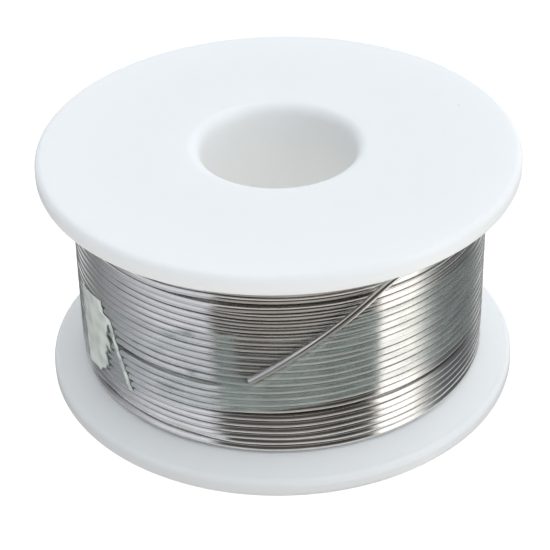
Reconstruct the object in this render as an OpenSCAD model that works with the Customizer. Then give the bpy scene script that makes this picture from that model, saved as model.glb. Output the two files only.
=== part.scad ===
// Spool of flux-cored solder wire: a white moulded reel in two halves, the wound
// wire, its free end and the clear tape that holds it.
// Millimetres, +Z up, origin at the centre of the base. Angles round the spool
// are counted from the front (-Y), positive towards +X.

/* [Reel] */
// Diameter of both flanges
flange_d = 56; // [50:0.5:80]
// Height over both flanges
reel_h = 29.5; // [27:0.5:50]
// Thickness of a flange at its rim
rim_t = 2.4; // [2:0.1:3.6]
// Rounding of a flange's rim corners
rim_round = 0.8; // [0.3:0.1:0.9]
// Extra thickness that a flange gains from its rim to the winding
root_extra = 0.9; // [0:0.1:1.2]
// Diameter of the spindle bore
bore_d = 18; // [10:0.5:20]
// Radius of the rounded mouth of the bore
mouth_r = 1.5; // [0.5:0.1:2]
// Wall thickness of the hub tube
hub_wall = 2.4; // [1.8:0.1:4]
// Length of the spigot that joins the two halves
spigot_l = 6; // [3:0.5:9]

/* [Winding] */
// Diameter of the solder wire
wire_d = 0.8; // [0.6:0.1:1.2]
// Diameter of the rosin core inside the wire
flux_d = 0.3; // [0.2:0.05:0.4]
// How far the flanges stand out past the winding
bare_rim = 3.8; // [2:0.1:6]
// Turns drawn in the outer layer
outer_turns = 24; // [12:1:24]
// Clear gap between neighbouring turns as drawn
turn_gap = 0.45; // [0.42:0.01:0.5]
// Gap between the lower flange's root and the lowest outer turn
low_gap = 0.15; // [0.1:0.05:2]
// Gap between the upper flange's root and the last outer turn
top_gap = 0.4; // [0.1:0.05:1.5]

/* [Tape] */
// Width of the holding tape
tape_w = 10.4; // [6:0.1:12]
// Thickness of the tape
tape_t = 0.1; // [0.05:0.01:0.15]
// Depth of the tape's middle below the middle of the reel
tape_drop = 2.35; // [1.5:0.05:4]
// Tilt of the tape from the level
tape_tilt = 8.3; // [0:0.1:10]
// Angle round the spool at which the tape lies highest
tape_high_at = 44; // [0:1:90]
// Angle round the spool of the tape's outer end
tape_end_at = -52; // [-80:1:-30]
// How far round the tape overlaps itself, in degrees
tape_lap = 60; // [20:1:90]

/* [Hidden] */
$fn = 96;

// Clearances: between moulded parts that fit together, and between resting parts
fit_gap = 0.05;
seat_gap = 0.05;
// How far a cutting or joining shape runs past what it cuts or joins
overcut = 1;
// Free depth left past the spigot's end in its socket
spigot_end_gap = 0.3;
// Chamfer on the spigot's end
spigot_chamfer = 0.4;

// Reel
flange_r = flange_d / 2;
flat_r = flange_r - rim_round;
bore_r = bore_d / 2;
hub_r = bore_r + hub_wall;
root_t = rim_t + root_extra;
pack_r = flange_r - bare_rim;
land_r = pack_r - wire_d / 2;
mid_z = reel_h / 2;
spigot_r = bore_r + hub_wall / 2;

// Winding: rings in a turn, sides of the drawn wire
rings = 24;
wound_sides = 6;
cord_sides = 8;
band_low = root_t + low_gap;
band_high = reel_h - root_t - top_gap;
turn_z0 = band_low + wire_d / 2;
turn_z1 = band_high - wire_d / 2;

// The outer layer starts at the back, where it comes up from the layer below,
// and ends at the front right, where the free end leaves it
free_from = 60;
start_at = 225;
wound_angle = 360 * (outer_turns - 1) + start_at - free_from;
pitch = (turn_z1 - turn_z0) * 360 / wound_angle;
drawn_d = min(wire_d, pitch - turn_gap);
turn_r = pack_r - drawn_d / 2;
// Bend of the wire where it climbs out of its pocket in the layer below
dive_r = 0.5;
dive_steps = 6;
dive_end_r = turn_r - dive_r - drawn_d;
pocket_w = drawn_d + 0.2;
pocket_floor_r = dive_end_r - seat_gap;
// The layers under the surface clear the flats of the drawn turns and the free end
core_r = min((pack_r - drawn_d) * cos(180 / rings), turn_r - wire_d / 2) - seat_gap;
core_chamfer = 0.4;

// Tape
tape_in_r = pack_r + seat_gap;
tape_z = mid_z - tape_drop;
tape_reach = 2 * flange_r;

// Free end, after its straight start, as [angle round the spool, share of the full
// lift off the turns, drop below the last turn]. At full lift it lies on the tape.
full_lift = drawn_d / 2 + 2 * seat_gap + tape_t + wire_d / 2;
free_route = [
  [53, 0.3, 0], [49, 0.7, 0], [45, 1, 0], [40.5, 1, 0], [36, 1, 0], [32, 1, 0.12],
  [28, 1, 0.65], [24, 1, 1.72], [20, 1, 2.95], [16, 1, 4.18], [12, 1, 5.4],
  [8, 1, 6.6], [4, 1, 7.8], [0, 1, 9.02], [-4, 1, 10.22], [-8.5, 1, 11.57]
];

// A point at an angle round the spool, a radius and a height
function round_spool(a, r, z) = [r * sin(a), -r * cos(a), z];

// Direction of the wire at point i of a path
function path_dir(path, i) =
  let (a = path[max(i - 1, 0)], b = path[min(i + 1, len(path) - 1)])
  (b - a) / norm(b - a);

// Corners of the wire's cross-section at point i: the first one faces away from the axis
function ring_corners(path, i, r, sides) =
  let (
    t = path_dir(path, i),
    side = cross(t, [0, 0, 1]),
    out = -side / norm(side),
    up = cross(t, out)
  )
  [for (k = [0 : sides - 1]) path[i] + r * (out * cos(360 * k / sides) + up * sin(360 * k / sides))];

function tube_points(path, r, sides) =
  [for (i = [0 : len(path) - 1]) each ring_corners(path, i, r, sides)];

// Side faces of a tube whose points start at the given index, as triangles
function tube_walls(n, sides, from = 0) = [
  for (i = [0 : n - 2]) for (k = [0 : sides - 1])
    let (
      a = from + i * sides + k,
      b = from + i * sides + (k + 1) % sides,
      c = a + sides,
      d = b + sides
    )
    each [[a, d, b], [a, c, d]]
];

function flipped(faces) = [for (f = faces) [f[0], f[2], f[1]]];

// A flat end closed by a fan of triangles
function end_fan(first, sides) = [for (k = [1 : sides - 2]) [first, first + k, first + k + 1]];

// A flat end closed by a ring of triangles between an outer and an inner outline
function end_ring(outer, inner, sides) = [
  for (k = [0 : sides - 1])
    let (m = (k + 1) % sides)
    each [[outer + k, inner + m, inner + k], [outer + k, outer + m, inner + m]]
];

module solid_tube(path, r, sides) {
  n = len(path);
  polyhedron(
    points = tube_points(path, r, sides),
    faces = concat(
      tube_walls(n, sides),
      end_fan(0, sides),
      flipped(end_fan((n - 1) * sides, sides))
    ),
    convexity = 10
  );
}

module hollow_tube(path, r, bore, sides) {
  n = len(path);
  inner = n * sides;
  polyhedron(
    points = concat(tube_points(path, r, sides), tube_points(path, bore, sides)),
    faces = concat(
      tube_walls(n, sides),
      flipped(tube_walls(n, sides, inner)),
      end_ring(0, inner, sides),
      flipped(end_ring((n - 1) * sides, inner + (n - 1) * sides, sides))
    ),
    convexity = 10
  );
}

// Section of one half of the reel: the flange, which thickens from its rim to the
// winding and is even from there to the hub, and the hub up to the joint
module half_section() {
  difference() {
    union() {
      polygon([
        [bore_r, 0], [flat_r, 0], [flat_r, rim_t], [land_r, root_t], [hub_r, root_t],
        [hub_r, mid_z], [bore_r, mid_z]
      ]);
      for (z = [rim_round, rim_t - rim_round])
        translate([flat_r, z]) circle(r = rim_round);
      translate([flat_r - rim_round, rim_round]) square([2 * rim_round, rim_t - 2 * rim_round]);
    }
    difference() {
      translate([bore_r - overcut, -overcut]) square(mouth_r + overcut);
      translate([bore_r + mouth_r, mouth_r]) circle(r = mouth_r);
    }
  }
}

module spigot_section() {
  top = mid_z + spigot_l;
  wide = spigot_r - fit_gap;
  polygon([
    [bore_r, mid_z - overcut], [wide, mid_z - overcut], [wide, top - spigot_chamfer],
    [wide - spigot_chamfer, top], [bore_r, top]
  ]);
}

module socket_section() {
  deep = mid_z - spigot_l - spigot_end_gap;
  translate([bore_r - overcut, deep])
    square([spigot_r - bore_r + overcut, mid_z - deep + overcut]);
}

module lower_reel_half() {
  color("white") rotate_extrude() difference() {
    half_section();
    socket_section();
  }
}

// The upper half stands on the lower one, with its spigot in the socket
module upper_reel_half() {
  color("white") translate([0, 0, reel_h]) rotate([180, 0, 0]) rotate_extrude() {
    half_section();
    spigot_section();
  }
}

// The layers under the surface, as one plain core that fills the reel up to the
// outer layer, with a pocket for the wire that climbs out of it
module inner_layers() {
  inner = hub_r + fit_gap;
  low = root_t + fit_gap;
  color("silver") difference() {
    rotate_extrude() polygon([
      [inner, low], [core_r - core_chamfer, low], [core_r, low + core_chamfer],
      [core_r, reel_h - low - core_chamfer], [core_r - core_chamfer, reel_h - low],
      [inner, reel_h - low]
    ]);
    rotate([0, 0, start_at]) translate([dive_r, -pocket_floor_r, turn_z0])
      rotate([90, 0, 0]) translate([-pocket_w / 2, -pocket_w / 2, 0])
        cube([pocket_w, pocket_w, core_r - pocket_floor_r + overcut]);
  }
}

// Direction in which the wire is wound at an angle round the spool
function winding_dir(a) = [-cos(a), -sin(a), 0];

// Path of the outer layer: up out of the pocket, round a small bend, round the spool
// and straight on for one diameter to where the free end begins
function dive_point(r, back) = round_spool(start_at, r, turn_z0) - back * winding_dir(start_at);

function outer_path() =
  let (n = ceil(wound_angle * rings / 360))
  [
    dive_point(dive_end_r, dive_r),
    for (i = [0 : dive_steps - 1])
      let (a = 90 * i / dive_steps)
      dive_point(turn_r - dive_r + dive_r * sin(a), dive_r * cos(a)),
    for (i = [0 : n])
      let (turned = wound_angle * i / n)
      round_spool(start_at - turned, turn_r, turn_z0 + pitch * turned / 360),
    free_start(drawn_d)
  ];

// A point straight on from the last turn
function free_start(ahead) = round_spool(free_from, turn_r, turn_z1) + ahead * winding_dir(free_from);

// Least clear distance between the drawn wire and itself, one turn and more away
function least_gap(path) =
  min([for (i = [0 : len(path) - 1]) for (j = [i + rings / 2 : min(i + rings + 4, len(path) - 1)])
    norm(path[i] - path[j])]) - drawn_d;

module outer_layer() {
  path = outer_path();
  echo(str("least gap of the wound wire to itself, mm: ", least_gap(path)));
  color("gainsboro") solid_tube(path, drawn_d / 2, wound_sides);
}

function free_path() = [
  free_start(drawn_d),
  free_start(drawn_d + wire_d),
  for (p = free_route) round_spool(p[0], turn_r + p[1] * full_lift, turn_z1 - p[2])
];

module free_end() {
  echo(str("length of the free end, mm: ", path_length(free_path())));
  color("gainsboro") hollow_tube(free_path(), wire_d / 2, flux_d / 2 + fit_gap / 2, cord_sides);
}

module flux_core() {
  color("goldenrod") solid_tube(free_path(), flux_d / 2, cord_sides);
}

function path_length(path, i = 1) =
  i >= len(path) ? 0 : norm(path[i] - path[i - 1]) + path_length(path, i + 1);

// Section of the tape before it is cut to its width: all the space between the flanges
module tape_section(t) {
  low = root_t + seat_gap;
  translate([tape_in_r, low]) square([t, reel_h - 2 * low]);
}

// Ring of tape with the second layer where it overlaps itself, cut by a tilted slab
module holding_tape() {
  color("lightcyan") intersection() {
    union() {
      rotate_extrude() tape_section(tape_t);
      rotate([0, 0, tape_end_at - tape_lap - 90]) rotate_extrude(angle = tape_lap)
        tape_section(2 * tape_t);
    }
    translate([0, 0, tape_z]) rotate([0, 0, tape_high_at]) rotate([-tape_tilt, 0, 0])
      cube([tape_reach, tape_reach, tape_w], center = true);
  }
}

lower_reel_half();
upper_reel_half();
inner_layers();
outer_layer();
free_end();
flux_core();
holding_tape();
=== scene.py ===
"""Spool of flux-cored solder wire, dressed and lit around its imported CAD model.

The reel is two moulded plastic halves. On it lie the wound wire, the wire's free end with
its rosin core, and the clear film tape that holds the end down. Lengths are in metres, and
azimuth runs from the front (-Y) towards +X.
"""

import math

import bpy
import numpy as np
from mathutils import Matrix, Vector


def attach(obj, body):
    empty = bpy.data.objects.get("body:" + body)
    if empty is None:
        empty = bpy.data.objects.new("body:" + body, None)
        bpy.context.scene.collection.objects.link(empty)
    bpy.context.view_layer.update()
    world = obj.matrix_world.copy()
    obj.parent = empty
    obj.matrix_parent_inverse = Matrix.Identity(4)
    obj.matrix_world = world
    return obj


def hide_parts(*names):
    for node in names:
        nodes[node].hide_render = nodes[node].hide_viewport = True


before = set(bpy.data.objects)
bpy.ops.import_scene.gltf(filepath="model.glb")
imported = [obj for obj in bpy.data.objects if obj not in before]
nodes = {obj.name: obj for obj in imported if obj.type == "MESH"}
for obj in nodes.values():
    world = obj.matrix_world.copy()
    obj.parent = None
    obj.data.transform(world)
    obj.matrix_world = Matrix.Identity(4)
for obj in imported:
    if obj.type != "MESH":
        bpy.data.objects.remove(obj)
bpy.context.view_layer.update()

MM = 0.001

# ---- sizes, repeated from the part's source -----------------------------------------

REEL_H = 29.5 * MM
HUB_R = 11.45 * MM
WIRE_R = 0.4 * MM
FLUX_R = 0.16 * MM  # bore of the wire, a little wider than the rosin in it
CUT_EDGE = 0.05 * MM  # width of the edge that the cutter has rounded at the tip
CUT_DEPTH = 0.03 * MM
BORE_SHOWN = 1.2 * MM  # how deep the tip's bore is drawn
TURN_R = 23.8 * MM  # centre of the outer layer's turns
PACK_R = TURN_R + WIRE_R
DEG_PER_MM = 1 / (PACK_R / MM * math.pi / 180)  # degrees of azimuth to a mm round the winding
FIRST_Z, LAST_Z = 3.85 * MM, 25.4 * MM
LAND_T = 3.3 * MM  # thickness of a flange under the winding
START_AT, END_AT = 225.0, 60.0  # azimuths where the outer layer starts and ends

FREE_R0 = 23.9657 * MM  # centre of the wire where the free end begins
FREE_LIFT = 0.8343 * MM  # from there to where it lies on the pack
DRAWN_D = 0.4687 * MM  # thickness of the source's turns
# The free end's route: [azimuth, share of the full lift, drop in mm]
FREE_ROUTE = [
    (53, 0.3, 0), (49, 0.7, 0), (45, 1, 0), (40.5, 1, 0), (36, 1, 0), (32, 1, 0.12),
    (28, 1, 0.65), (24, 1, 1.72), (20, 1, 2.95), (16, 1, 4.18), (12, 1, 5.4),
    (8, 1, 6.6), (4, 1, 7.8), (0, 1, 9.02), (-4, 1, 10.22), (-8.5, 1, 11.57),
]

TAPE_Z = 12.4 * MM  # mean height of its middle
TAPE_W = 10.51 * MM  # upright width of the tilted strip
TAPE_SWING = 3.54 * MM  # how far the tilt lifts it at its highest azimuth
TAPE_HIGH_AT = 44.0
TAPE_START, TAPE_END = -112.0, 308.0
START_EVEN, END_EVEN = -80.0, 286.0  # its ends' uneven lines fade out at these
LAP_FROM = 246.0  # past here the tape lies on its own first layer
FILM_T = 0.05 * MM
FILM_LIFT = 0.035 * MM  # of its outer face over the wire's crests
FILM_DIP = 0.045 * MM  # how far it sinks between them
LAP_LIFT = 0.055 * MM  # of the second layer over the first
TENT_FLAT = 0.22 * MM  # half-width in which it rests on the free end
TENT_FOOT_BELOW, TENT_FOOT_ABOVE = 0.85 * MM, 1.45 * MM  # width of the slopes beside it
# Where the tape's outer end has come away from the wire: [azimuth, height in mm]
LOOSE = [
    (-71.6, 16.3), (-65, 16.9), (-57.6, 17.2), (-56.9, 15.8), (-53.4, 15.2),
    (-54.7, 14.0), (-55.0, 12.6), (-53.6, 10.9), (-55.6, 11.0), (-56.5, 9.9),
    (-55.9, 8.6), (-56.9, 7.3), (-60, 6.5), (-65.5, 5.8), (-69.4, 5.6), (-70.8, 11),
]
# The torn end: [share across the tape, degrees past its middle]
TORN_END = [(0, 6.8), (0.23, 4.5), (0.5, 1.5), (0.67, 0), (0.81, -1), (0.85, -4.6), (1, -5.4)]

# ---- winding: 24.5 turns that climb as the azimuth falls ------------------------------

TURNS = 24 + (START_AT - END_AT) / 360
FRONT = START_AT / 360  # turns from the start to the front
WOUND = TURNS + DRAWN_D / (2 * math.pi * FREE_R0)  # runs on until it meets the free end
STEP = 1.2 / (2 * math.pi)  # each turn lies level at the front and steps over at the back
PITCH = (LAST_Z - FIRST_Z) / (TURNS - FRONT - STEP * math.sin(2 * math.pi * (TURNS - FRONT)))
CLOSEST = 0.76 * MM  # rows pressed together, from centre to centre
# Rows that stand off their even places:
# [first and last row, lift in mm, first and last azimuth]
ROW_SHIFTS = [
    (2, 9, -0.38, -74, -10), (2, 5, -0.22, -24, 16), (7, 9, -0.12, -26, 2),
    (6, 13, 0.20, -2, 84), (6, 13, 0.19, 14, 78), (10, 10, 0.10, -70, 8),
    (11, 13, 0.22, -74, 8), (14, 16, 0.18, -66, 8), (17, 20, 0.14, -70, -10),
    (14, 21, 0.14, 18, 84), (22, 24, 0.28, -32, 56), (23, 24, 0.14, 20, 70),
    (9, 17, 0.14, 92, 150), (4, 8, -0.14, 112, 205), (18, 21, 0.12, -132, -84),
]
SHIFT_PAST = 4  # degrees that a shift runs on past the azimuths given
SHIFT_EASE = 20  # degrees over which it comes and goes
# Smudges on the wires, and last a painted shade over the lowest rows at the front left:
# [azimuth, height in mm, half-sizes along and up in mm, darkness]
GRIME_AND_SHADE = [
    (-32, 10.3, 2.6, 0.55, 0.45), (-25.5, 18.5, 1.3, 0.35, 0.55), (-30, 17.6, 1.8, 0.30, 0.35),
    (-7, 18.2, 0.35, 0.3, 0.7), (-24, 13.2, 0.7, 0.4, 0.5), (-44, 14.5, 1.2, 0.4, 0.3),
    # painted shade where the lowest rows at the front left lie in shadow
    (-61, 5.2, 5.5, 2.0, 0.35),
]
# One turn that has sunk between its neighbours: its row, depth and [first azimuth, last
# azimuth, degrees of easing]
SUNK_ROW = 1
SUNK_DEPTH = 0.3 * MM
SUNK_SPAN = (-70, -12, 14)
# The wire comes up out of the pack at its start, and rises to the free end at its end
CLIMB_DEPTH = 0.75 * MM
CLIMB_TURNS = 0.05
LEAVE_TURNS = 0.06


def wander(t, seed, waves, size):
    """Smooth random line, about -size to size: sines with up to `waves` cycles a turn."""
    rng = np.random.default_rng(seed)
    total = np.zeros_like(t)
    for _ in range(9):
        cycles = rng.uniform(0.25, 1.0) * waves
        total += rng.normal() * np.sin(2 * np.pi * (cycles * t + rng.uniform()))
    return total * size / 2.1  # the spread of nine such sines


def bump(x, low, high, soft):
    """One between low and high, falling smoothly to zero over `soft` inside them."""
    share = np.clip(np.minimum(x - low, high - x) / soft, 0, 1)
    return share * share * (3 - 2 * share)


def ease(x, low, high):
    """Zero below low, one above high, smooth between."""
    share = np.clip((x - low) / (high - low), 0, 1)
    return share * share * (3 - 2 * share)


def blotches(x, y, seed, size):
    """Smooth random field over a surface, about -1 to 1, with patches of `size`."""
    rng = np.random.default_rng(seed)
    total = np.zeros_like(x)
    for _ in range(14):
        turn = rng.uniform(0, 2 * np.pi)
        cycles = rng.uniform(0.5, 1.6) / size
        total += np.sin(2 * np.pi * cycles * (x * np.cos(turn) + y * np.sin(turn))
                        + rng.uniform(0, 2 * np.pi))
    return total / 3.2  # fourteen sines seldom add up to more


def azimuth_at(t):
    """Azimuth of the wire after t turns."""
    return START_AT - 360 * t


def sunk_share(t, row):
    """How far a turn has sunk between its neighbours at the front left, from 0 to 1."""
    return (np.floor(t) == row) * bump(azimuth_at(t % 1.0), *SUNK_SPAN)


def row_height(t):
    """Height of the wire's centre after t turns."""
    t = np.asarray(t, float)
    az = azimuth_at(t % 1.0)
    row = np.floor(t)
    level = STEP * np.sin(2 * math.pi * (t - FRONT))
    even = FIRST_Z + PITCH * (t - FRONT - level)
    z = even + wander(t, seed=11, waves=4, size=0.016 * MM)
    for first, last, lift, low, high in ROW_SHIFTS:
        share = bump(az, low - SHIFT_PAST, high + SHIFT_PAST, SHIFT_EASE)
        z = z + (row >= first) * (row <= last) * lift * MM * share
    # no closer than pressed together, counted from the first row and from the last
    spread = CLOSEST * np.maximum(t - FRONT, 0)
    sunk = SUNK_DEPTH * (row > SUNK_ROW) * bump(az, *SUNK_SPAN)
    highest = LAST_Z - CLOSEST * np.maximum(TURNS - t, 0)
    return np.clip(z, FIRST_Z + spread - sunk, highest)


def on_spool(az, r, z):
    """Points at azimuths in degrees, radii and heights."""
    a = np.radians(az)
    return np.stack([r * np.sin(a), -r * np.cos(a), z + 0 * a], -1)


# ---- Blender helpers ------------------------------------------------------------------

def hex_rgb(code):
    """Linear colour of an sRGB hex code."""
    out = []
    for i in (1, 3, 5):
        c = int(code[i:i + 2], 16) / 255
        out.append(c / 12.92 if c <= 0.04045 else ((c + 0.055) / 1.055) ** 2.4)
    return (*out, 1.0)


def deselect():
    for obj in bpy.context.selected_objects:
        obj.select_set(False)


def pick(obj):
    deselect()
    obj.select_set(True)
    bpy.context.view_layer.objects.active = obj


def edit(obj, mode="VERT"):
    """Goes into edit mode with nothing selected."""
    pick(obj)
    bpy.ops.object.mode_set(mode="EDIT")
    bpy.ops.mesh.select_mode(type=mode)
    bpy.ops.mesh.select_all(action="DESELECT")


def select_where(obj, test):
    """Selects the points that pass the test, from inside edit mode."""
    bpy.ops.object.mode_set(mode="OBJECT")
    for point in obj.data.vertices:
        point.select = bool(test(point))
    bpy.ops.object.mode_set(mode="EDIT")


def finish_mesh(merge=None):
    """Merges points closer than `merge`, turns the faces outwards and leaves edit mode."""
    bpy.ops.mesh.select_all(action="SELECT")
    if merge:
        bpy.ops.mesh.remove_doubles(threshold=merge)
    bpy.ops.mesh.normals_make_consistent(inside=False)
    bpy.ops.object.mode_set(mode="OBJECT")


def smooth_by_angle(obj, degrees):
    """Shades smoothly over the edges that are less sharp than this."""
    pick(obj)
    bpy.ops.object.shade_smooth_by_angle(angle=math.radians(degrees))


def settle(obj, name):
    """Puts the object's place into its mesh and names both."""
    pick(obj)
    bpy.ops.object.transform_apply(location=True, rotation=True, scale=True)
    obj.name = name
    obj.data.name = name
    return obj


def points_of(obj):
    co = np.empty(len(obj.data.vertices) * 3)
    obj.data.vertices.foreach_get("co", co)
    return co.reshape(-1, 3)


def move_points(obj, co):
    obj.data.vertices.foreach_set("co", np.ascontiguousarray(co, float).ravel())
    obj.data.update()


def keep_attribute(obj, name, values):
    """Keeps a number or three on each point, for a material to read."""
    kind = "FLOAT" if values.ndim == 1 else "FLOAT_VECTOR"
    field = "value" if values.ndim == 1 else "vector"
    layer = obj.data.attributes.new(name, kind, "POINT")
    layer.data.foreach_set(field, np.ascontiguousarray(values, np.float32).ravel())


def add_modifier(obj, kind, **settings):
    """Adds a modifier and applies it."""
    pick(obj)
    bpy.ops.object.modifier_add(type=kind)
    modifier = obj.modifiers[-1]
    for key, value in settings.items():
        setattr(modifier, key, value)
    bpy.ops.object.modifier_apply(modifier=modifier.name)


def ride(obj, material, replaced):
    """Gives a finished piece its material and puts it in its CAD node's place."""
    obj.data.materials.clear()
    obj.data.materials.append(material)
    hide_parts(replaced)
    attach(obj, "root")


# ---- camera ---------------------------------------------------------------------------

FRAME_PX = 550
FOCAL_PX = 1833  # focal length in pixels of that frame
SENSOR_MM = 36.0
CAMERA_AWAY = 219.15 * MM  # from the middle of the spool
CAMERA_RISE = 33.113  # degrees above level
CAMERA_TURN = (33.875, -0.224, -1.37)  # pitch downwards, yaw and roll in degrees


def add_camera():
    """Long lens, from the front and a third of the way up, with a slight roll."""
    target = Vector((0, 0, REEL_H / 2))
    rise = math.radians(CAMERA_RISE)
    place = target + CAMERA_AWAY * Vector((0, -math.cos(rise), math.sin(rise)))
    pitch, yaw, roll = (math.radians(a) for a in CAMERA_TURN)
    forward = Vector((math.sin(yaw) * math.cos(pitch), math.cos(yaw) * math.cos(pitch),
                      -math.sin(pitch)))
    right = forward.cross(Vector((0, 0, 1))).normalized()
    up = right.cross(forward)
    side = math.cos(roll) * right + math.sin(roll) * up
    top = -math.sin(roll) * right + math.cos(roll) * up
    data = bpy.data.cameras.new("camera")
    data.sensor_width = SENSOR_MM
    data.lens = FOCAL_PX / FRAME_PX * SENSOR_MM
    data.clip_start = 0.01
    data.clip_end = 20
    camera = bpy.data.objects.new("camera", data)
    bpy.context.scene.collection.objects.link(camera)
    axes = Matrix((side, top, -forward)).transposed().to_4x4()
    camera.matrix_world = Matrix.Translation(place) @ axes
    bpy.context.scene.camera = camera


# ---- the cord: the wire's free end ----------------------------------------------------

def free_points():
    """The free end's route, as in the part's source."""
    a = math.radians(END_AT)
    wound = np.array([-math.cos(a), -math.sin(a), 0.0])
    begin = on_spool(END_AT, FREE_R0, LAST_Z)
    points = [begin + DRAWN_D * wound, begin + (DRAWN_D + 2 * WIRE_R) * wound]
    for az, lift, drop in FREE_ROUTE:
        points.append(on_spool(az, FREE_R0 + lift * FREE_LIFT, LAST_Z - drop * MM))
    return np.array(points)


def smooth_line(points, per_span=4):
    """Catmull-Rom curve through all the points."""
    ghost = np.vstack([2 * points[0] - points[1], points, 2 * points[-1] - points[-2]])
    out = []
    for p0, p1, p2, p3 in zip(ghost, ghost[1:], ghost[2:], ghost[3:]):
        for i in range(per_span):
            u = i / per_span
            out.append(0.5 * (2 * p1 + (p2 - p0) * u + (2 * p0 - 5 * p1 + 4 * p2 - p3) * u ** 2
                              + (3 * p1 - p0 - 3 * p2 + p3) * u ** 3))
    out.append(points[-1])
    return np.array(out)


def tube_on(path, radius, sides, name):
    """Open round tube along a path: a curve with a round section, made a mesh."""
    deselect()
    curve = bpy.data.curves.new(name, "CURVE")
    curve.dimensions = "3D"
    curve.twist_mode = "Z_UP"
    spline = curve.splines.new("POLY")
    spline.points.add(len(path) - 1)
    spline.points.foreach_set("co", np.c_[path, np.ones(len(path))].ravel())
    curve.bevel_mode = "ROUND"
    curve.bevel_depth = radius
    curve.bevel_resolution = (sides - 4) // 2
    curve.use_fill_caps = False
    tube = bpy.data.objects.new(name, curve)
    bpy.context.scene.collection.objects.link(tube)
    pick(tube)
    bpy.ops.object.convert(target="MESH")
    return bpy.context.object


def mark_along(obj, path):
    """Keeps each point's place along and round the wire, in mm, for the drawn finish."""
    co = points_of(obj)
    step = np.r_[0, np.cumsum(np.linalg.norm(np.diff(path, axis=0), axis=1))]
    nearest = np.argmin(((co[:, None] - path[None]) ** 2).sum(2), axis=1)
    off = (co - path[nearest]) / MM
    keep_attribute(obj, "wire_mm", np.c_[step[nearest] / MM, off[:, 2],
                                         np.hypot(off[:, 0], off[:, 1])])


def make_free_end(material):
    """Wire along the route, whose cut tip shows the bore that holds the rosin."""
    route = smooth_line(free_points())
    wire = tube_on(route, WIRE_R, sides=16, name="free_wire")
    inward = Vector(route[-2] - route[-1]).normalized()
    for end, is_tip in ((route[-1], True), (route[0], False)):
        edit(wire)
        middle = Vector(end)
        # the ring of points at this end, and no other
        select_where(wire, lambda point: (point.co - middle).length < 1.06 * WIRE_R)
        bpy.ops.mesh.edge_face_add()
        if is_tip:
            bpy.ops.mesh.inset(thickness=CUT_EDGE, depth=CUT_DEPTH)
            bpy.ops.mesh.inset(thickness=WIRE_R - FLUX_R - CUT_EDGE)
            bpy.ops.mesh.extrude_region_move(
                TRANSFORM_OT_translate={"value": inward * BORE_SHOWN})
    finish_mesh(merge=1e-7)
    smooth_by_angle(wire, 40)
    settle(wire, "free_wire")
    mark_along(wire, route)
    ride(wire, material, "free_end")


# ---- the winding ----------------------------------------------------------------------

def helix(name, turns, turn_r, radius, height, sides, per_turn):
    """One section circle carried round the spool by a screw, then eased to its rows, whose
    radius and height are functions of the turns from the start."""
    steps = int(round(turns * per_turn))
    deselect()
    bpy.ops.mesh.primitive_circle_add(vertices=sides, radius=WIRE_R,
                                      location=(0, -turn_r, 0), rotation=(0, math.pi / 2, 0))
    wire = settle(bpy.context.object, name)
    section = points_of(wire)
    add_modifier(wire, "SCREW", angle=-2 * math.pi * turns, steps=steps,
                 render_steps=steps, screw_offset=PITCH * turns,
                 use_merge_vertices=False, use_smooth_shade=True)
    t = np.repeat(np.linspace(0, turns, steps + 1), sides)
    out = np.tile(-section[:, 1] - turn_r, steps + 1)
    up = np.tile(section[:, 2], steps + 1)
    move_points(wire, on_spool(azimuth_at(t), radius(t) + out, height(t) + up))
    along = 2 * np.pi * turn_r * t / MM
    keep_attribute(wire, "wire_mm", np.c_[along, out / MM, up / MM])
    edit(wire, "EDGE")
    bpy.ops.mesh.select_non_manifold()
    bpy.ops.mesh.edge_face_add()
    finish_mesh()
    return wire


def outer_radius(t):
    """Radius of the outer layer's centre line after t turns."""
    climb = CLIMB_DEPTH * (1 - ease(t, 0, CLIMB_TURNS))
    leave = (FREE_R0 - TURN_R) * (1 - np.clip((TURNS - t) / LEAVE_TURNS, 0, 1))
    sunk = SUNK_DEPTH * sunk_share(t, SUNK_ROW)
    return TURN_R - climb + leave - sunk + wander(t, seed=5, waves=15, size=0.016 * MM)


def make_winding(material):
    """The outer layer, with the smudges and a patch of painted shade on it."""
    outer = helix("outer_turns", WOUND, TURN_R, outer_radius, row_height,
                  sides=12, per_turn=150)
    co = points_of(outer) / MM
    az = np.degrees(np.arctan2(co[:, 0], -co[:, 1]))
    grime_and_shade = np.zeros(len(co))
    for at, high, long, tall, dark in GRIME_AND_SHADE:
        off = np.hypot((az - at) / DEG_PER_MM / long, (co[:, 2] - high) / tall)
        grime_and_shade = np.maximum(grime_and_shade, dark * (1 - ease(off, 0.3, 1.0)))
    keep_attribute(outer, "grime_and_shade", grime_and_shade)
    ride(outer, material, "outer_layer")


BELOW_R = TURN_R - math.sqrt(3) * WIRE_R  # the layer below lies in the outer one's hollows
BELOW_TURNS = TURNS + 0.5  # it has half a turn more, so that it reaches the upper flange
CORE_R = BELOW_R - 0.2 * MM
CORE_PLAY = 0.05 * MM  # between the core and a flange
CORE_BEVEL = 0.6 * MM  # keeps its edges out of sight behind the turns


def below_height(t):
    """Height of the layer below: midway between the rows that lie on it, and clear of the
    flanges."""
    wound = np.minimum(t, TURNS)
    between = row_height(wound) + PITCH * (t - wound) - PITCH / 2
    return np.clip(between, LAND_T + 1.1 * WIRE_R, REEL_H - LAND_T - 1.1 * WIRE_R)


def below_radius(t):
    """Radius of the layer below, which sinks where the outer one's turn has."""
    sunk = sunk_share(t, SUNK_ROW) + sunk_share(t, SUNK_ROW + 1)
    return BELOW_R - SUNK_DEPTH * sunk + wander(t, seed=23, waves=8, size=0.02 * MM)


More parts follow.
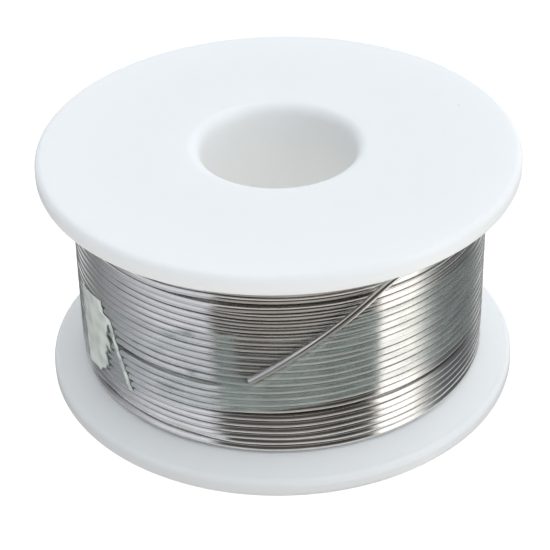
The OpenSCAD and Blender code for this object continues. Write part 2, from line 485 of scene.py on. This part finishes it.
def make_core():
    """All that lies deeper, as one ring: a flat outline spun round the hub."""
    low = LAND_T + CORE_PLAY
    deselect()
    bpy.ops.mesh.primitive_plane_add(size=1, location=(0, 0, 0), rotation=(math.pi / 2, 0, 0))
    core = settle(bpy.context.object, "packed_core")
    section = points_of(core)
    r = np.where(section[:, 0] > 0, CORE_R, HUB_R)
    z = np.where(section[:, 2] > 0, REEL_H - low, low)
    move_points(core, np.c_[r, 0 * r, z])
    edit(core)
    select_where(core, lambda point: point.co.x > 0.9 * CORE_R)
    bpy.ops.mesh.bevel(offset=CORE_BEVEL, segments=1, affect="VERTICES")
    bpy.ops.mesh.select_mode(type="FACE")
    bpy.ops.mesh.select_all(action="SELECT")
    bpy.ops.mesh.delete(type="ONLY_FACE")
    bpy.ops.mesh.select_all(action="SELECT")
    bpy.ops.mesh.spin(steps=96, angle=2 * math.pi, center=(0, 0, 0), axis=(0, 0, 1))
    finish_mesh(merge=1e-6)
    keep_attribute(core, "wire_mm", points_of(core) / MM)
    return core


def make_inner_turns(material):
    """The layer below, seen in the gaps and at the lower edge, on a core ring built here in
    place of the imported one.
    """
    turns = helix("inner_turns", BELOW_TURNS, BELOW_R, below_radius, below_height,
                  sides=8, per_turn=96)
    core = make_core()
    deselect()
    core.select_set(True)
    turns.select_set(True)
    bpy.context.view_layer.objects.active = turns
    bpy.ops.object.join()
    smooth_by_angle(turns, 50)
    ride(turns, material, "inner_layers")


# ---- the tape -------------------------------------------------------------------------

def nearest_row(az, z):
    """Distance in height from each point to the centre of the nearest row."""
    turn = ((START_AT - az) / 360) % 1.0
    best = np.full(az.shape, 1.0)
    for row in range(int(TURNS) + 1):
        best = np.minimum(best, np.abs(z - row_height(np.minimum(turn + row, TURNS))))
    return best


def beside_free_end(az, z):
    """Distance from each point to the free end as laid out flat, and the side it is on."""
    line = smooth_line(free_points())
    line_az = np.degrees(np.arctan2(line[:, 0], -line[:, 1]))
    flat = np.c_[np.radians(line_az) * PACK_R, line[:, 2]]
    p = np.c_[np.radians(az) * PACK_R, z]
    best = np.full(len(p), 1.0)
    side = np.ones(len(p))
    for a, b in zip(flat, flat[1:]):
        d = b - a
        u = np.clip(((p - a) @ d) / (d @ d), 0, 1)
        gap = p - (a + u[:, None] * d)
        far = np.hypot(gap[:, 0], gap[:, 1])
        cross = d[0] * (p[:, 1] - a[1]) - d[1] * (p[:, 0] - a[0])
        closer = far < best
        best = np.where(closer, far, best)
        side = np.where(closer, np.sign(cross), side)
    return best, side


def depth_inside(x, y, corners):
    """Distance of points from an outline with straight edges, positive inside it."""
    nearest = np.full(x.shape, 1e9)
    inside = np.zeros(x.shape, bool)
    for (x0, y0), (x1, y1) in zip(corners, corners[1:] + corners[:1]):
        dx, dy = x1 - x0, y1 - y0
        u = np.clip(((x - x0) * dx + (y - y0) * dy) / (dx * dx + dy * dy), 0, 1)
        nearest = np.minimum(nearest, np.hypot(x - x0 - u * dx, y - y0 - u * dy))
        if dy:
            inside ^= ((y0 > y) != (y1 > y)) & (x < x0 + (y - y0) * dx / dy)
    return np.where(inside, nearest, -nearest)


def tent_over_wire(away, side, az):
    """How far the film is lifted to the top of the free end, from 0 to 1."""
    foot = np.where(side < 0, TENT_FOOT_BELOW, TENT_FOOT_ABOVE)
    slope = np.clip(1 - (away - TENT_FLAT) / foot, 0, 1)
    near_wire = (az < 60) * (az > -30)
    return np.where(away < TENT_FLAT, 1, slope) ** 1.15 * near_wire


def film_haze(az, x_mm, z_mm, away, side, tent):
    """How milky the first layer is: more where its glue has drawn air, less where it wets, and
    a painted reflection below the free end.
    """
    haze = 0.15 + 0.03 * blotches(x_mm, z_mm * 2, 9, 5.0)
    # the stretch that crosses the front, and the clear wet patch behind the free end's tip
    front = bump(az, -17.5, 27, 2.0)
    below_wire = ease(side * away / MM, -0.1, 0.25)
    clear = ease(az, -14, -10.5) * ease(z_mm, 13.4, 14.6) * (1 - below_wire)
    haze = haze + 0.20 * front * (1 - clear) - 0.10 * clear * front
    haze = haze - 0.08 * ease(az, 9.5, 12.5) * front * (1 - clear)
    haze = haze + 0.07 * bump(z_mm, 8.3, 13.2, 1.5) * bump(az, -38, -3, 6)
    # clear on the wire's top, and a milkier band beside it on its lower side, a painted
    # reflection of the film sloping down off the wire
    haze = haze * (1 - 0.75 * np.clip(tent * 1.3 - 0.55, 0, 1))
    slope_sheen = bump(away / MM, 0.25, 1.5, 0.35) * (side > 0) * (az > -12) * (az < 14)
    return haze + 0.12 * slope_sheen


def film_columns():
    """Azimuths of the film's points along the tape, closer where it has detail."""
    return np.r_[np.linspace(TAPE_START, -76, 26), np.linspace(-74.5, -42, 90),
                 np.linspace(-41, -16, 18), np.linspace(-15, 30, 92),
                 np.linspace(31.5, 240, 120), np.linspace(241, 285, 28),
                 np.linspace(END_EVEN, TAPE_END, 70)]


def lay_film(along, v):
    """Azimuth, radius, height and haze of film points, from their azimuth along the even
    strip and their share v of its width."""
    # the torn end's line and the start's, in degrees
    torn = np.interp(v, *np.transpose(TORN_END))
    end_line = torn + wander(v * 3, seed=3, waves=6, size=0.05) * DEG_PER_MM
    start_line = wander(v * 3, seed=4, waves=9, size=0.2) * DEG_PER_MM
    at_end = ease(along, END_EVEN, TAPE_END)
    at_start = ease(-along, -START_EVEN, -TAPE_START)
    az = along + end_line * at_end + start_line * at_start
    middle = TAPE_Z + TAPE_SWING * np.cos(np.radians(az - TAPE_HIGH_AT))
    z = middle + (v - 0.5) * TAPE_W + wander(az / 360, seed=8, waves=6, size=0.05 * MM)
    seen_az = (az + 180) % 360 - 180
    x_mm, z_mm = az / DEG_PER_MM, z / MM
    # the loosened part, and the rim along the torn end
    over = az > LAP_FROM
    corners = [(a / DEG_PER_MM, h) for a, h in LOOSE]
    depth = depth_inside(seen_az / DEG_PER_MM, z_mm, corners)
    depth = depth + 0.16 * blotches(x_mm, z_mm, 14, 2.0)
    loose = ease(depth, -0.12, 0.30) * over
    to_end = (TAPE_END + end_line - az) / DEG_PER_MM
    rim = ease(-to_end, -0.90, -0.50) * (0.93 + 0.14 * blotches(x_mm, z_mm, 12, 1.6)) * over
    # it lies on the crests and sinks a little between them
    dip = FILM_DIP * np.clip(nearest_row(seen_az, z) / (PITCH / 2), 0, 1) ** 2
    lap = LAP_LIFT * ease(az, LAP_FROM, LAP_FROM + 4)
    r = PACK_R + FILM_LIFT - dip * (1 - loose) + lap
    # it stands over the free end as a low tent
    away, side = beside_free_end(seen_az, z)
    tent = tent_over_wire(away, side, seen_az)
    top = FREE_R0 + FREE_LIFT + WIRE_R + 0.03 * MM
    r = r + np.maximum(top - r, 0) * tent * ~over
    # it buckles where it is loose
    buckle = (0.07 + 0.03 * blotches(x_mm, z_mm, 6, 4.0)) * MM
    r = r + ease(depth, 0.0, 1.5) * over * buckle
    # the second layer is clear but for its loose part and its rim
    haze = np.where(over, 0.06, film_haze(seen_az, x_mm, z_mm, away, side, tent))
    patchy = 0.82 + 0.05 * blotches(x_mm, z_mm, 15, 3.0)
    return az, r, z, np.clip(haze + patchy * loose + 0.85 * rim, 0.02, 0.97)


def make_tape(material):
    """A flat grid, laid round the pack with its end lapped over its start."""
    columns = film_columns()
    across = 84  # faces over its width
    deselect()
    bpy.ops.mesh.primitive_grid_add(x_subdivisions=len(columns) - 1, y_subdivisions=across,
                                    size=1)
    film = settle(bpy.context.object, "tape_film")
    flat = points_of(film)
    place = (flat[:, 0] + 0.5) * (len(columns) - 1)
    along = np.interp(place, np.arange(len(columns)), columns)
    az, r, z, haze = lay_film(along, flat[:, 1] + 0.5)
    keep_attribute(film, "haze", haze)
    keep_attribute(film, "film_mm", np.c_[az / DEG_PER_MM, z / MM, 0 * z])
    move_points(film, on_spool(az, r, z))
    add_modifier(film, "SOLIDIFY", thickness=FILM_T, offset=-1.0)
    edit(film)
    finish_mesh()
    smooth_by_angle(film, 50)
    ride(film, material, "holding_tape")


# ---- materials ------------------------------------------------------------------------

def add_node(tree, kind, settings=None, links=None):
    """Adds a node, sets its values and sockets, and links other nodes' outputs to it."""
    node = tree.nodes.new(kind)
    for key, value in (settings or {}).items():
        if isinstance(key, int) or key in node.inputs:
            node.inputs[key].default_value = value
        else:
            setattr(node, key, value)
    for key, source in (links or {}).items():
        tree.links.new(source, node.inputs[key])
    return node


def new_material(name):
    material = bpy.data.materials.new(name)
    material.use_nodes = True
    material.node_tree.nodes.clear()
    return material, material.node_tree


def finish_material(tree, shader):
    add_node(tree, "ShaderNodeOutputMaterial", links={"Surface": shader.outputs[0]})


def moulded_polypropylene():
    """Injection-moulded white polypropylene: satin, faintly uneven, and light soaks a
    little way into it."""
    material, tree = new_material("moulded_white_polypropylene")
    place = add_node(tree, "ShaderNodeTexCoord").outputs["Object"]
    # sink and flow marks of a moulding are 5 to 10 mm across
    flow = add_node(tree, "ShaderNodeTexNoise", {"Scale": 130.0, "Detail": 3.0,
                                                 "Roughness": 0.5}, {"Vector": place})
    # satin grain of the mould, drawn at 0.25 mm so that it shows
    grain = add_node(tree, "ShaderNodeTexNoise", {"Scale": 4000.0, "Detail": 2.0},
                     {"Vector": place})
    tint = add_node(tree, "ShaderNodeMix", {"data_type": "RGBA", 6: hex_rgb("#FBFAF7"),
                                            7: hex_rgb("#FDFDFA")},
                    {0: flow.outputs["Fac"]})
    # dust specks, 0.3 to 0.6 mm wide, a few on each flange
    dust = add_node(tree, "ShaderNodeTexVoronoi", {"Scale": 120.0}, {"Vector": place})
    speck = add_node(tree, "ShaderNodeMapRange", {"From Min": 0.02, "From Max": 0.035,
                                                  "To Min": 0.35, "To Max": 0.0},
                     {"Value": dust.outputs["Distance"]})
    rough = add_node(tree, "ShaderNodeMapRange", {"To Min": 0.30, "To Max": 0.42},
                     {"Value": flow.outputs["Fac"]})
    darkened = add_node(tree, "ShaderNodeMix", {"data_type": "RGBA", 7: hex_rgb("#8C8A86")},
                     {0: speck.outputs["Result"], 6: tint.outputs[2]})
    height = add_node(tree, "ShaderNodeMath", {"operation": "MULTIPLY_ADD", 1: 0.12},
                      {0: grain.outputs["Fac"], 2: flow.outputs["Fac"]})
    bumps = add_node(tree, "ShaderNodeBump", {"Strength": 0.10, "Distance": 0.0003},
                     {"Height": height.outputs[0]})
    shader = add_node(tree, "ShaderNodeBsdfPrincipled",
                      {"IOR": 1.49, "Subsurface Weight": 0.4, "Subsurface Scale": 0.0025,
                       "Subsurface Radius": (1.0, 1.0, 1.0)},
                      {"Base Color": darkened.outputs[2], "Roughness": rough.outputs["Result"],
                       "Normal": bumps.outputs["Normal"]})
    finish_material(tree, shader)
    return material


def drawn_solder(name, dull, bright, rough_dull, rough_bright):
    """Tin-lead solder wire, drawn through dies: bright metal with streaks along the wire,
    soft nicks and a thin grey oxide in patches."""
    material, tree = new_material(name)
    wire = add_node(tree, "ShaderNodeAttribute", {"attribute_name": "wire_mm"})
    # die marks: 0.1 mm apart round the wire, about 8 mm long
    lines = add_node(tree, "ShaderNodeMapping", {"Scale": (0.12, 9.0, 9.0)},
                     {"Vector": wire.outputs["Vector"]})
    streaks = add_node(tree, "ShaderNodeTexNoise", {"Scale": 1.0, "Detail": 3.0,
                                                    "Roughness": 0.6},
                       {"Vector": lines.outputs["Vector"]})
    # oxide and handling marks: patches about 3 mm long and as wide as the wire
    patch_place = add_node(tree, "ShaderNodeMapping", {"Scale": (0.35, 0.9, 0.9)},
                           {"Vector": wire.outputs["Vector"]})
    patches = add_node(tree, "ShaderNodeTexNoise", {"Scale": 1.0, "Detail": 4.0,
                                                    "Roughness": 0.62},
                       {"Vector": patch_place.outputs["Vector"]})
    tone = add_node(tree, "ShaderNodeMapRange", {"From Min": 0.3, "From Max": 0.7},
                    {"Value": patches.outputs["Fac"]})
    colour = add_node(tree, "ShaderNodeMix", {"data_type": "RGBA", 6: hex_rgb(dull),
                                              7: hex_rgb(bright)},
                      {0: tone.outputs["Result"]})
    # smudges, and the painted shade at the pack's front left, darken the wire towards this grey
    grime_and_shade = add_node(tree, "ShaderNodeAttribute", {"attribute_name": "grime_and_shade"})
    darkened = add_node(tree, "ShaderNodeMix", {"data_type": "RGBA", 7: hex_rgb("#5A5856")},
                     {0: grime_and_shade.outputs["Fac"], 6: colour.outputs[2]})
    rough = add_node(tree, "ShaderNodeMapRange", {"From Min": 0.3, "From Max": 0.7,
                                                  "To Min": rough_dull, "To Max": rough_bright},
                     {"Value": patches.outputs["Fac"]})
    height = add_node(tree, "ShaderNodeMath", {"operation": "MULTIPLY_ADD", 1: 0.6},
                      {0: patches.outputs["Fac"], 2: streaks.outputs["Fac"]})
    bumps = add_node(tree, "ShaderNodeBump", {"Strength": 0.18, "Distance": 0.00002},
                     {"Height": height.outputs[0]})
    shader = add_node(tree, "ShaderNodeBsdfPrincipled", {"Metallic": 1.0},
                      {"Base Color": darkened.outputs[2], "Roughness": rough.outputs["Result"],
                       "Normal": bumps.outputs["Normal"]})
    finish_material(tree, shader)
    return material


def rosin():
    """Rosin flux: brittle amber resin, glassy where it is cut."""
    material, tree = new_material("amber_rosin_flux")
    place = add_node(tree, "ShaderNodeTexCoord").outputs["Object"]
    # cloudy grains of about 0.1 mm
    cloud = add_node(tree, "ShaderNodeTexNoise", {"Scale": 9000.0, "Detail": 2.0},
                     {"Vector": place})
    colour = add_node(tree, "ShaderNodeMix", {"data_type": "RGBA", 6: hex_rgb("#B9761F"),
                                              7: hex_rgb("#E0A84B")},
                      {0: cloud.outputs["Fac"]})
    shader = add_node(tree, "ShaderNodeBsdfPrincipled",
                      {"IOR": 1.54, "Roughness": 0.25, "Subsurface Weight": 0.3,
                       "Subsurface Scale": 0.0003},
                      {"Base Color": colour.outputs[2]})
    finish_material(tree, shader)
    return material


def film_tape():
    """Clear polypropylene film with a milky adhesive: glossy, a cool thin veil where it
    sticks, milky white where it has come away, with soft glue marks along it."""
    material, tree = new_material("clear_film_tape")
    place = add_node(tree, "ShaderNodeAttribute", {"attribute_name": "film_mm"})
    haze = add_node(tree, "ShaderNodeAttribute", {"attribute_name": "haze"})
    # glue marks of about 3 by 1 mm, drawn out along the tape
    along = add_node(tree, "ShaderNodeMapping", {"Scale": (0.35, 1.1, 1.0)},
                     {"Vector": place.outputs["Vector"]})
    mottle = add_node(tree, "ShaderNodeTexNoise", {"Scale": 1.0, "Detail": 3.0,
                                                   "Roughness": 0.55},
                      {"Vector": along.outputs["Vector"]})
    # specks of dust and air about 0.2 mm wide, one every 7 mm or so
    bubbles = add_node(tree, "ShaderNodeTexVoronoi", {"Scale": 0.45},
                       {"Vector": place.outputs["Vector"]})
    speck = add_node(tree, "ShaderNodeMapRange", {"From Min": 0.02, "From Max": 0.05,
                                                  "To Min": 0.5, "To Max": 0.0},
                     {"Value": bubbles.outputs["Distance"]})
    spread = add_node(tree, "ShaderNodeMapRange", {"From Min": 0.3, "From Max": 0.7,
                                                   "To Min": 0.75, "To Max": 1.25},
                      {"Value": mottle.outputs["Fac"]})
    veil = add_node(tree, "ShaderNodeMath", {"operation": "MULTIPLY"},
                    {0: haze.outputs["Fac"], 1: spread.outputs["Result"]})
    # two faces of the film are crossed, so each has half of the veil
    alpha = add_node(tree, "ShaderNodeMath", {"operation": "MULTIPLY", 1: 0.55},
                     {0: veil.outputs[0]})
    dense = add_node(tree, "ShaderNodeMapRange", {"From Min": 0.35, "From Max": 0.9},
                     {"Value": haze.outputs["Fac"]})
    opaque = add_node(tree, "ShaderNodeMix", {"data_type": "FLOAT"},
                      {0: dense.outputs["Result"], 2: alpha.outputs[0],
                       3: haze.outputs["Fac"]})
    spotted = add_node(tree, "ShaderNodeMath", {"operation": "ADD", "use_clamp": True},
                       {0: opaque.outputs[0], 1: speck.outputs["Result"]})
    colour = add_node(tree, "ShaderNodeMix", {"data_type": "RGBA", 6: hex_rgb("#B9C7C2"),
                                              7: hex_rgb("#F7FCF4")},
                      {0: dense.outputs["Result"]})
    bumps = add_node(tree, "ShaderNodeBump", {"Strength": 0.15, "Distance": 0.00008},
                     {"Height": mottle.outputs["Fac"]})
    shader = add_node(tree, "ShaderNodeBsdfPrincipled", {"IOR": 1.49, "Roughness": 0.18},
                      {"Base Color": colour.outputs[2], "Alpha": spotted.outputs[0],
                       "Normal": bumps.outputs["Normal"]})
    finish_material(tree, shader)
    return material


# ---- studio ---------------------------------------------------------------------------

def make_floor():
    """Plain white paper, lit from inside itself so that it stays even, and a hair under
    the reel."""
    deselect()
    bpy.ops.mesh.primitive_circle_add(vertices=96, radius=1.5, fill_type="NGON",
                                      location=(0, 0, -0.02 * MM))
    floor = settle(bpy.context.object, "studio_floor")
    material, tree = new_material("white_paper")
    seen = add_node(tree, "ShaderNodeLightPath")
    place = add_node(tree, "ShaderNodeTexCoord").outputs["Object"]
    far = add_node(tree, "ShaderNodeVectorMath", {"operation": "LENGTH"}, {0: place})
    # the camera sees it white all over, yet it lights the spool less from close by
    shaded = add_node(tree, "ShaderNodeMapRange",
                      {"interpolation_type": "SMOOTHSTEP", "From Min": 27 * MM,
                       "From Max": 75 * MM, "To Min": 0.52, "To Max": 0.92},
                      {"Value": far.outputs["Value"]})
    # but for the round that the bore leaves open, which lights the bore's wall
    under_bore = add_node(tree, "ShaderNodeMapRange",
                          {"From Min": 9 * MM, "From Max": 10 * MM, "To Min": 1.0,
                           "To Max": 0.0}, {"Value": far.outputs["Value"]})
    strongest = add_node(tree, "ShaderNodeMath", {"operation": "MAXIMUM"},
                         {0: shaded.outputs["Result"], 1: under_bore.outputs["Result"]})
    glow = add_node(tree, "ShaderNodeMix", {"data_type": "FLOAT", 3: 1.04},
                    {0: seen.outputs["Is Camera Ray"], 2: strongest.outputs[0]})
    shader = add_node(tree, "ShaderNodeBsdfPrincipled",
                      {"Base Color": hex_rgb("#6F6F6F"), "Roughness": 0.9,
                       "Emission Color": hex_rgb("#FFFEFB")},
                      {"Emission Strength": glow.outputs[0]})
    finish_material(tree, shader)
    floor.data.materials.append(material)
    floor.visible_glossy = False


# What the wound wire mirrors to the front, as [azimuth on the spool where it does so,
# colour, brightness]: of what stands above the table ...
WALLS = [
    (-180, "#F4F4F4", 1.05), (-82, "#EEF2F4", 1.00), (-75, "#E9EDF0", 0.86),
    (-67, "#E6E9ED", 0.38), (-61, "#E0E4EA", 0.28), (-54, "#E0E4EC", 0.34),
    (-48, "#E0E4EE", 0.40), (-41, "#E2E6F0", 0.62), (-34, "#E2E6F0", 0.79),
    (-19.4, "#E4E8F0", 0.81), (-18.6, "#E0E4EC", 0.74), (-17.8, "#C8CBD0", 0.08),
    (-12, "#C9C8C7", 0.07), (-4, "#C8C4BE", 0.075), (6, "#C6C2BA", 0.085),
    (14, "#C6C2BC", 0.05), (24.5, "#C8C6BE", 0.06), (26.0, "#FFFEFB", 1.64),
    (34, "#FFFEFB", 1.47), (36.5, "#FCFCF8", 1.36), (38.7, "#F8F8F4", 1.04),
    (40.2, "#F4F4F2", 0.81), (42.2, "#ECF0F0", 0.46), (44.5, "#E6EAEA", 0.27),
    (47.5, "#DCE2E4", 0.14), (55, "#D8DEE2", 0.11), (61, "#DCE1E4", 0.13),
    (67, "#E4E8EC", 0.28), (72, "#EAEDF0", 0.56), (80, "#F0F2F6", 0.95),
    (90, "#F4F4F4", 1.10), (180, "#F4F4F4", 1.05),
]
# ... and of the table with what stands on it
TABLE = [
    (-180, "#F4F4F4", 0.70), (-82, "#E9EDF0", 0.26), (-75, "#E9EDF0", 0.16),
    (-66, "#E6E9ED", 0.19), (-58, "#E0E4EA", 0.27), (-50, "#E0E4EE", 0.40),
    (-42, "#E2E6F0", 0.51), (-34, "#E2E6F0", 0.60), (-19.9, "#E2E6F0", 0.60),
    (-18.7, "#E0DEDC", 0.32), (-6, "#E6E0DA", 0.36), (6, "#E6E0DA", 0.44),
    (15, "#E6E2DC", 0.34), (25.5, "#E6E4DE", 0.34), (27.1, "#FFFEFB", 1.60),
    (34.5, "#FFFEFB", 1.44), (37, "#FBFAF4", 1.27), (40.2, "#F4F5F5", 0.73),
    (44, "#E6EAEA", 0.36), (49, "#D8DEE2", 0.20), (58, "#D8DEE2", 0.19),
    (65, "#DCE1E4", 0.16), (72, "#E6EAEE", 0.19), (82, "#F4F4F4", 0.44),
    (180, "#F4F4F4", 0.70),
]
OVERHEAD = (0.34, 0.36, 0.38, 1)
BACKDROP = (0.80, 0.82, 0.84, 1)
TOWARDS_BACKDROP = (0, 0.88, 0.475)
TOWARDS_LOW_LEFT = (-0.66, -0.66, 0.35)
# Level part of the way to the camera: at the spool's sides, and what it gains at the front
BACK_PART = 0.833
BACK_GAIN = 0.088
GAIN = 4.0  # a colour ramp holds up to 1, so it holds a quarter of the brightness
# Soft light that falls on all that isn't bright metal: level, and from straight above
SOFT_LEVEL = (0.42, 0.44, 0.47, 1)
SOFT_ABOVE = (1.42, 1.53, 1.65, 1)


def add_ring(tree, stops, share):
    """Brightness all round the studio, as a colour ramp over the share of a full turn."""
    node = add_node(tree, "ShaderNodeValToRGB", links={0: share})
    ramp = node.color_ramp
    while len(ramp.elements) > 1:
        ramp.elements.remove(ramp.elements[-1])
    for i, (azimuth, code, level) in enumerate(stops):
        at = (azimuth + 180) / 360
        stop = ramp.elements[0] if i == 0 else ramp.elements.new(at)
        stop.position = at
        tint = hex_rgb(code)
        stop.color = (*[c / max(tint[:3]) * level / GAIN for c in tint[:3]], 1)
    return add_node(tree, "ShaderNodeVectorMath", {"operation": "SCALE", "Scale": GAIN},
                    {0: node.outputs["Color"]}).outputs[0]


def azimuth_from(tree, split, back):
    """Angle of directions round a line that lies `back`, a number or another node's
    output, behind their middle."""
    settings, links = {"operation": "SUBTRACT"}, {1: split.outputs["Y"]}
    if isinstance(back, float):
        settings[0] = back
    else:
        links[0] = back
    depth = add_node(tree, "ShaderNodeMath", settings, links)
    return add_node(tree, "ShaderNodeMath", {"operation": "ARCTAN2"},
                    {0: split.outputs["X"], 1: depth.outputs[0]}).outputs[0]


def mirrored_room(tree, look, split):
    """What bright metal mirrors: a tall panel on the right that leans over the spool, a
    weaker one on the left, a dark front over a pale table, and a pale backdrop."""
    height = split.outputs["Z"]
    # A round of the spool at azimuth m mirrors to the front what lies in directions d
    # for which d and the way to the camera have their mean direction at m. So the
    # panels' edges, set by m, stay straight across all the turns.
    rough_turn = azimuth_from(tree, split, BACK_PART)
    facing = add_node(tree, "ShaderNodeMath", {"operation": "COSINE"}, {0: rough_turn})
    back = add_node(tree, "ShaderNodeMath",
                    {"operation": "MULTIPLY_ADD", 1: BACK_GAIN, 2: BACK_PART},
                    {0: facing.outputs[0]})
    turn = azimuth_from(tree, split, back.outputs[0])
    share = add_node(tree, "ShaderNodeMapRange", {"From Min": -math.pi, "From Max": math.pi},
                     {"Value": turn}).outputs["Result"]
    # the walls give way to the table a little under level
    below = add_node(tree, "ShaderNodeMapRange",
                     {"interpolation_type": "SMOOTHSTEP", "From Min": 0.02,
                      "From Max": -0.22}, {"Value": height})
    sides = add_node(tree, "ShaderNodeMix", {"data_type": "RGBA"},
                     {0: below.outputs["Result"], 6: add_ring(tree, WALLS, share),
                      7: add_ring(tree, TABLE, share)})
    # and to the ceiling close to straight up
    above = add_node(tree, "ShaderNodeMapRange",
                     {"interpolation_type": "SMOOTHSTEP", "From Min": 0.95, "From Max": 0.985},
                     {"Value": height})
    topped = add_node(tree, "ShaderNodeMix", {"data_type": "RGBA", 7: OVERHEAD},
                      {0: above.outputs["Result"], 6: sides.outputs[2]})
    # level faces mirror the backdrop, where the rings above run together
    behind = add_node(tree, "ShaderNodeVectorMath",
                      {"operation": "DOT_PRODUCT", 1: TOWARDS_BACKDROP}, {0: look})
    plain_part = add_node(tree, "ShaderNodeMapRange",
                          {"interpolation_type": "SMOOTHSTEP", "From Min": 0.86,
                           "From Max": 0.95}, {"Value": behind.outputs["Value"]})
    return add_node(tree, "ShaderNodeMix", {"data_type": "RGBA", 7: BACKDROP},
                    {0: plain_part.outputs["Result"], 6: topped.outputs[2]}).outputs[2]


def soft_light(tree, look, split):
    """Colour and strength of the soft light: stronger from above and from the right, and
    weakest from low at the front left."""
    lean = add_node(tree, "ShaderNodeMapRange", {"From Min": -1.0, "From Max": 1.0,
                                                 "To Min": 0.55, "To Max": 1.45},
                    {"Value": split.outputs["X"]})
    low_left = add_node(tree, "ShaderNodeVectorMath",
                        {"operation": "DOT_PRODUCT", 1: TOWARDS_LOW_LEFT}, {0: look})
    hollow = add_node(tree, "ShaderNodeMapRange",
                      {"interpolation_type": "SMOOTHSTEP", "From Min": 0.5, "From Max": 1.0,
                       "To Min": 1.0, "To Max": 0.60}, {"Value": low_left.outputs["Value"]})
    strength = add_node(tree, "ShaderNodeMath", {"operation": "MULTIPLY"},
                        {0: lean.outputs["Result"], 1: hollow.outputs["Result"]})
    square = add_node(tree, "ShaderNodeMath", {"operation": "MULTIPLY"},
                      {0: split.outputs["Z"], 1: split.outputs["Z"]})
    colour = add_node(tree, "ShaderNodeMix", {"data_type": "RGBA", 6: SOFT_LEVEL,
                                              7: SOFT_ABOVE}, {0: square.outputs[0]})
    return colour.outputs[2], strength.outputs[0]


def make_world():
    """Soft studio: metal mirrors the room, all else takes the soft light, and the camera
    sees plain white."""
    world = bpy.data.worlds.new("studio")
    bpy.context.scene.world = world
    world.use_nodes = True
    tree = world.node_tree
    tree.nodes.clear()
    look = add_node(tree, "ShaderNodeTexCoord").outputs["Generated"]
    split = add_node(tree, "ShaderNodeSeparateXYZ", links={0: look})
    soft, strength = soft_light(tree, look, split)
    seen = add_node(tree, "ShaderNodeLightPath")
    sheen = add_node(tree, "ShaderNodeBackground",
                     links={"Color": mirrored_room(tree, look, split)})
    fill = add_node(tree, "ShaderNodeBackground", links={"Color": soft, "Strength": strength})
    plain = add_node(tree, "ShaderNodeBackground", {"Color": (1, 1, 1, 1)})
    lit = add_node(tree, "ShaderNodeMixShader", links={0: seen.outputs["Diffuse Depth"],
                                                       1: sheen.outputs[0],
                                                       2: fill.outputs[0]})
    mix = add_node(tree, "ShaderNodeMixShader", links={0: seen.outputs["Is Camera Ray"],
                                                       1: lit.outputs[0],
                                                       2: plain.outputs[0]})
    add_node(tree, "ShaderNodeOutputWorld", links={"Surface": mix.outputs[0]})


def set_view():
    """Colours as they are, with no film look."""
    view = bpy.context.scene.view_settings
    view.view_transform = "Standard"
    view.look = "None"
    view.exposure = 0.0


# ---- everything together --------------------------------------------------------------

add_camera()
# fresh wire
solder = drawn_solder("drawn_tin_lead_solder", "#E5E3E0", "#F2F0ED", 0.15, 0.09)
# the free end: a darker, rougher copy of the solder, whose darker colour is painted shade that
# dims its highlight
dimmed_solder = drawn_solder("dimmed_free_end_solder", "#CBC9C6", "#DCDAD7", 0.20, 0.14)
# the layers below: a slightly darker, rougher copy of the solder, whose darker colour is
# painted shade in the gaps where they show
shaded_solder = drawn_solder("shaded_inner_solder", "#E2E0DD", "#EEECE9", 0.18, 0.12)
make_free_end(dimmed_solder)
make_winding(solder)
make_inner_turns(shaded_solder)
make_tape(film_tape())
plastic = moulded_polypropylene()
for name, material in (("lower_reel_half", plastic), ("upper_reel_half", plastic),
                       ("flux_core", rosin())):
    for holder in nodes[name].material_slots:
        holder.material = material
make_floor()
make_world()
set_view()
